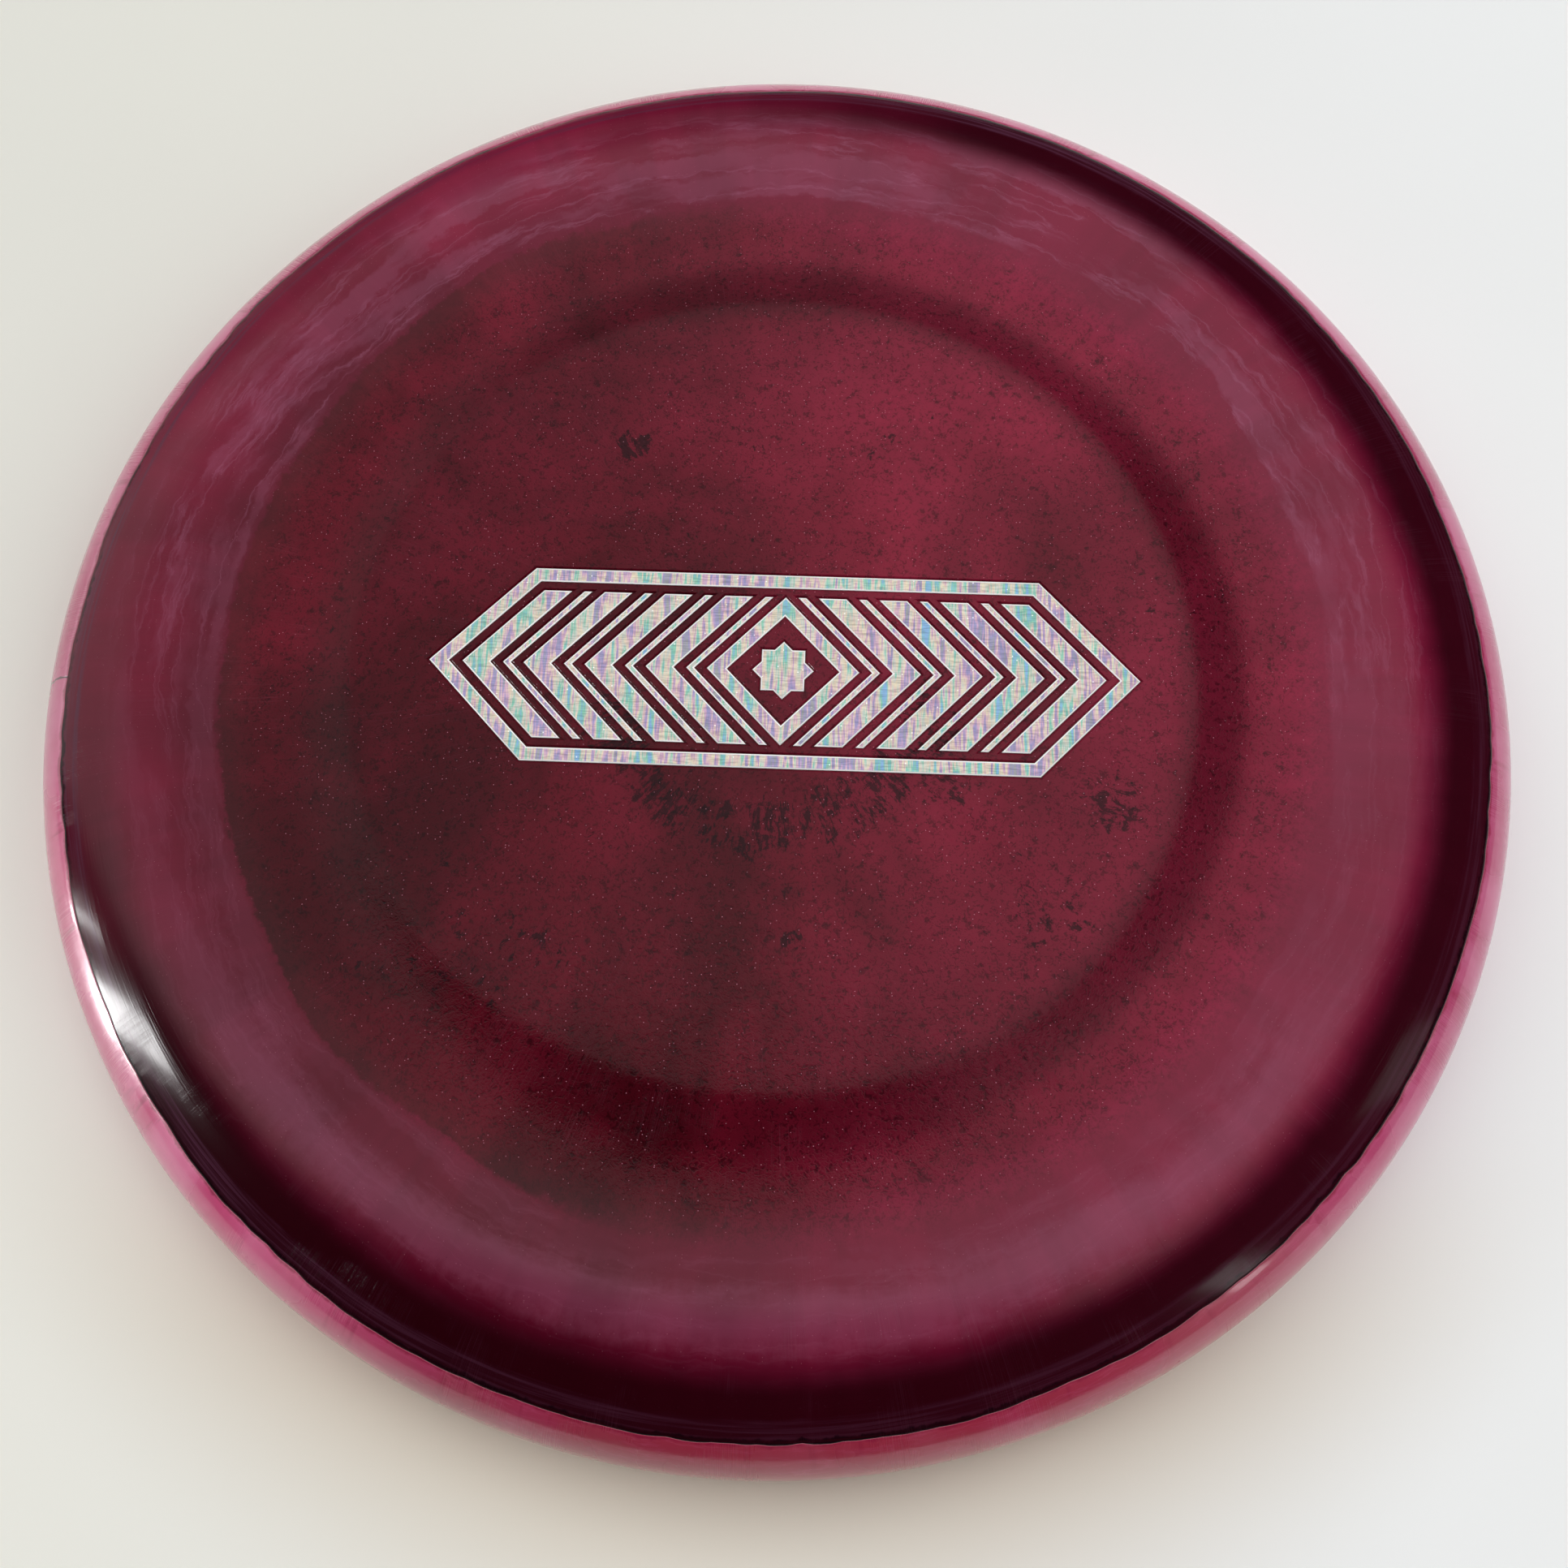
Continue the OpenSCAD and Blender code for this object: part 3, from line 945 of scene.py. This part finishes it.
# the rim
def makeRim(s, material):
    p = plateShape
    bm = bmesh.new()
    layer = bm.verts.layers.float.new("seamGap")
    beyond = lambda r, seam: r - seam
    far = lambda r, seam: farGap
    rings = []
    for ahead, drop in ((0.0, 1.0), (0.08, 0.3)):
        def onRoll(seam, ahead=ahead, drop=drop):
            r = seam + ahead
            return r, topZ(r) - p["edgeRoll"] * drop
        rings.append(addRing(bm, layer, onRoll, beyond))
    crown, run, power = p["crestR"], noseR - p["crestR"], s["shoulderPower"]
    for part in [0.0] + spread(0.0, 1.0, 18):
        def onShoulder(seam, part=part):
            share = (seam + 0.2 - crown) / run
            start = math.asin(share ** (power / 2))
            turn = start + (math.pi / 2 - start) * part
            r = crown + run * math.sin(turn) ** (2 / power)
            z = s["noseZ"] + (crestZ - s["noseZ"]) * max(math.cos(turn), 0.0) ** (2 / power)
            return r, z
        rings.append(addRing(bm, layer, onShoulder, beyond))
    valleyR = noseR - s["valleyInset"]
    beadX = noseR - s["beadInset"]
    fixed = []
    for t in spread(0.0, 1.0, 10):
        fixed.append((noseR - s["valleyInset"] * smooth(t), s["noseZ"] + (s["valleyZ"] - s["noseZ"]) * t))
    begin = math.acos((valleyR - beadX) / s["beadR"])
    for t in [0.0] + spread(0.0, 1.0, 14):
        a = begin + (-math.pi / 2 - begin) * t
        fixed.append((beadX + s["beadR"] * math.cos(a), s["beadR"] + s["beadR"] * math.sin(a)))
    footX = s["footX"] + s["footR"]
    for t in [0.0] + spread(0.0, 1.0, 8):
        a = -math.pi / 2 - math.pi / 2 * t
        fixed.append((footX + s["footR"] * math.cos(a), s["footR"] + s["footR"] * math.sin(a)))
    wallRun, wallRise = s["wallX"] - s["footX"], s["wallTopZ"] - s["footR"]
    fixed += [(s["footX"] + wallRun * t, s["footR"] + wallRise * t) for t in (0.33, 0.67)]
    for t in [0.0] + spread(0.0, 1.0, 10):
        a = math.pi / 2 * t
        r = s["wallX"] - s["gripR"] + s["gripR"] * math.cos(a)
        fixed.append((r, s["wallTopZ"] + s["gripR"] * math.sin(a)))
    fixed += [(r, haunchZ(r)) for r in spread(p["haunchTopR"], p["lipR"], 3)]
    seatZ = haunchZ(p["lipR"]) + p["lipThick"]
    fixed.append((p["lipR"], seatZ))
    for r, z in fixed:
        rings.append(addRing(bm, layer, lambda seam, r=r, z=z: (r, z), far))
    rings.append(addRing(bm, layer, lambda seam: (seam - p["edgeLean"], seatZ), far))
    for inner, outer in zip(rings, rings[1:] + rings[:1]):
        joinRings(bm, inner, outer)
    return finishMesh(bm, "rimRing", material)


# the foil
def makeFoil(name, loops, material):
    f = foilShape
    bm = bmesh.new()
    layer = bm.verts.layers.float.new("edgeLine")
    lows, inners = [], []
    for loop in loops:
        low = addLoop(bm, layer, loop, foilLowZ, 1.0)
        wall = addLoop(bm, layer, loop, foilTopZ - f["edgeRoll"], 1.0)
        top = addLoop(bm, layer, offsetLoop(loop, -f["edgeRoll"]), foilTopZ, 1.0)
        inner = addLoop(bm, layer, offsetLoop(loop, -f["edgeLine"]), foilTopZ, 0.0)
        bridge(bm, inner, top)
        bridge(bm, top, wall)
        bridge(bm, wall, low)
        lows.append(low)
        inners.append(inner)
    fillBetween(bm, inners)
    fillBetween(bm, lows, upward=False)
    return finishMesh(bm, name, material, 50.0)


def makeRowTree():
    # repeats one bar along X at an even pitch
    tree = bpy.data.node_groups.new("barRow", "GeometryNodeTree")
    kinds = {"Bar": "Geometry", "Count": "Int", "Pitch": "Float", "Foil": "Material"}
    keys = {}
    for label, kind in kinds.items():
        socket = tree.interface.new_socket(label, in_out="INPUT", socket_type="NodeSocket" + kind)
        keys[label] = socket.identifier
    tree.interface.new_socket("Row", in_out="OUTPUT", socket_type="NodeSocketGeometry")
    given = tree.nodes.new("NodeGroupInput").outputs
    step = tree.nodes.new("ShaderNodeCombineXYZ")
    line = tree.nodes.new("GeometryNodeMeshLine")
    line.mode = "OFFSET"
    copies = tree.nodes.new("GeometryNodeInstanceOnPoints")
    joined = tree.nodes.new("GeometryNodeRealizeInstances")
    coated = tree.nodes.new("GeometryNodeSetMaterial")
    leave = tree.nodes.new("NodeGroupOutput")
    for start, end in (
        (given["Pitch"], step.inputs[0]),
        (given["Count"], line.inputs["Count"]),
        (step.outputs[0], line.inputs["Offset"]),
        (line.outputs[0], copies.inputs["Points"]),
        (given["Bar"], copies.inputs["Instance"]),
        (copies.outputs[0], joined.inputs[0]),
        (joined.outputs[0], coated.inputs[0]),
        (given["Foil"], coated.inputs["Material"]),
        (coated.outputs[0], leave.inputs[0]),
    ):
        tree.links.new(start, end)
    return tree, keys


rowTree, rowKeys = makeRowTree()


def makeRow(name, loops, material):
    # the bars of a row are equal, so the first is made and the tree repeats it
    lefts = [min(x for x, _ in loop) for loop in loops]
    pitch = (max(lefts) - min(lefts)) / (len(loops) - 1)
    piece = makeFoil(name, [loops[lefts.index(min(lefts))]], material)
    modifier = piece.modifiers.new("row", "NODES")
    modifier.node_group = rowTree
    for label, value in {"Count": len(loops), "Pitch": pitch * mm, "Foil": material}.items():
        modifier[rowKeys[label]] = value
    made = piece.evaluated_get(bpy.context.evaluated_depsgraph_get())
    mesh = bpy.data.meshes.new_from_object(made)
    piece.modifiers.remove(modifier)
    piece.data = mesh
    mesh.name = name
    return piece


plate = makePlate(plateShape, plateMaterial)
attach(plate, "root")
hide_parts("flight_plate")
rim = makeRim(rimShape, rimMaterial)
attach(rim, "root")
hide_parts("rim")
for name, loops in outlines.items():
    words = name.split("_")
    make = makeRow if len(loops) > 2 else makeFoil      # the border and the lozenge have one hole each
    piece = make(words[0] + "".join(w.capitalize() for w in words[1:]), loops, foilMaterial)
    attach(piece, "root")
    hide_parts(name)
print("pieces made:", len(plate.data.polygons), "and", len(rim.data.polygons), "faces")


# floor and light
floorLook = {
    "left": (246, 246, 238),
    "right": (247, 249, 250),
    "shade": (214, 200, 176),   # painted shadow, warmer, under the near side of the disc
    "cloud": (205, 204, 200),
    "rough": 0.7,
    "size": 4.0,                # metres
}
skyLook = {
    "overhead": 2.25,
    "low": 1.5,             # towards the horizon
    "dark": 0.03,
    "bright": (-25, 14, 42, 54),    # the ceiling light: centre, and where it ends in degrees
    "nearFrom": (-8, 4),    # degrees towards the near side, and its softness
    "nearLean": 0.25,
    "farDip": (36, 50, 0.3),        # a duller stretch of ceiling on the far side
    "tint": (1.0, 0.995, 0.975, 1.0),
    "patches": [            # round patches: place, reach from and to in degrees, share of light left
        (-5, -13, 14, 21, 0.0),
        (-18, 23, 6, 22, 0.6),
    ],
}
windows = [                 # azimuth, angle from overhead, width and height in degrees, brightness
    (193, 68, 4.6, 40, 75.0),
    (184.5, 73, 1.2, 26, 40.0),
    (-14, 62, 7, 22, 1.6),
    (-40, 66, 4, 26, 5.0),
]
fillLight = (-8, 58, 80, 60, 1.5)   # lights the floor, and shows in no reflection
windowReach = 1.2           # metres from the disc


def heading(azimuth, fromTop):
    a, t = math.radians(azimuth), math.radians(fromTop)
    return Vector((math.cos(a) * math.sin(t), math.sin(a) * math.sin(t), math.cos(t)))


def makeFloor(look):
    half = look["size"] / 2
    mesh = bpy.data.meshes.new("floor")
    corners = [(-half, -half, 0), (half, -half, 0), (half, half, 0), (-half, half, 0)]
    mesh.from_pydata(corners, [], [(0, 1, 2, 3)])
    floor = bpy.data.objects.new("floor", mesh)
    scene.collection.objects.link(floor)
    material, tree, shader = newMaterial("paleFloor")
    where = addNode(tree, "TexCoord").outputs["Object"]
    colour = {k: fromScreen(*v) for k, v in look.items() if isinstance(v, tuple)}
    right, ahead = addNode(tree, "SeparateXYZ", {0: where}).outputs[:2]
    tone = mixColour(tree, ease(tree, right, -0.12, 0.12), colour["left"], colour["right"])
    away = lengthOf(tree, right, ahead)
    # painted shadow, warmer and darker, under the near side of the disc
    nearShadeMask = times(tree, ease(tree, away, 0.1, 0.142, 0.8, 0.0), ease(tree, ahead, -0.05, -0.1))
    tone = mixColour(tree, nearShadeMask, tone, colour["shade"])
    cloud = noise(tree, where, 9.0, 3.0)
    tone = mixColour(tree, ease(tree, cloud, 0.35, 0.7, 0.0, 0.06), tone, colour["cloud"])
    tree.links.new(tone, shader.inputs["Base Color"])
    shader.inputs["Roughness"].default_value = look["rough"]
    mesh.materials.append(material)


def makeSky(look):
    # a bright ceiling over the far left, dark to the right and where the viewer stands
    world = bpy.data.worlds.new("softRoom")
    scene.world = world
    world.use_nodes = True
    tree = world.node_tree
    tree.nodes.clear()
    where = addNode(tree, "TexCoord").outputs["Generated"]
    parts = addNode(tree, "SeparateXYZ", {0: where}).outputs
    fromTop = maths(tree, "DEGREES", maths(tree, "ARCCOSINE", parts[2]))
    flat = lengthOf(tree, parts[0], parts[1])
    scale = maths(tree, "DIVIDE", fromTop, maths(tree, "MAXIMUM", flat, 0.0001))
    right = times(tree, parts[0], scale)
    ahead = times(tree, parts[1], scale)
    level = ease(tree, fromTop, 25.0, 80.0, look["overhead"], look["low"])
    x, y, inner, outer = look["bright"]
    beyond = maths(tree, "MAXIMUM", minus(tree, right, x), 0.0)
    above = times(tree, minus(tree, ahead, y), 0.88)
    level = times(tree, level, ease(tree, lengthOf(tree, beyond, above), inner, outer, 1.0, 0.0))
    edge, soft = look["nearFrom"]
    slant = plus(tree, ahead, times(tree, right, look["nearLean"]))
    level = times(tree, level, ease(tree, slant, edge - soft, edge + soft))
    start, end, dip = look["farDip"]
    level = times(tree, level, ease(tree, ahead, start, end, 1.0, dip))
    for x, y, inner, outer, left in look["patches"]:
        away = lengthOf(tree, minus(tree, right, x), minus(tree, ahead, y))
        level = times(tree, level, ease(tree, away, inner, outer, left, 1.0))
    level = plus(tree, level, look["dark"])
    tint = shaded(tree, look["tint"], level)
    background = addNode(tree, "Background", {"Color": tint, "Strength": 1.0})
    output = addNode(tree, "OutputWorld")
    tree.links.new(background.outputs[0], output.inputs[0])


def makeWindow(index, azimuth, fromTop, wide, high, bright):
    data = bpy.data.lights.new(f"window{index}", "AREA")
    data.shape = "RECTANGLE"
    data.size = 2 * windowReach * math.tan(math.radians(wide / 2))
    data.size_y = 2 * windowReach * math.tan(math.radians(high / 2))
    data.energy = bright * math.pi * data.size * data.size_y
    light = bpy.data.objects.new(f"window{index}", data)
    aim = heading(azimuth, fromTop)
    light.rotation_mode = "QUATERNION"
    light.rotation_quaternion = aim.to_track_quat("Z", "Y")
    light.location = aim * windowReach
    scene.collection.objects.link(light)
    return light


makeFloor(floorLook)
makeSky(skyLook)
for index, setup in enumerate(windows):
    makeWindow(index, *setup).visible_diffuse = False   # seen only as a gleam
makeWindow(len(windows), *fillLight).visible_glossy = False
scene.view_settings.view_transform = "Standard"
print("floor and light made")
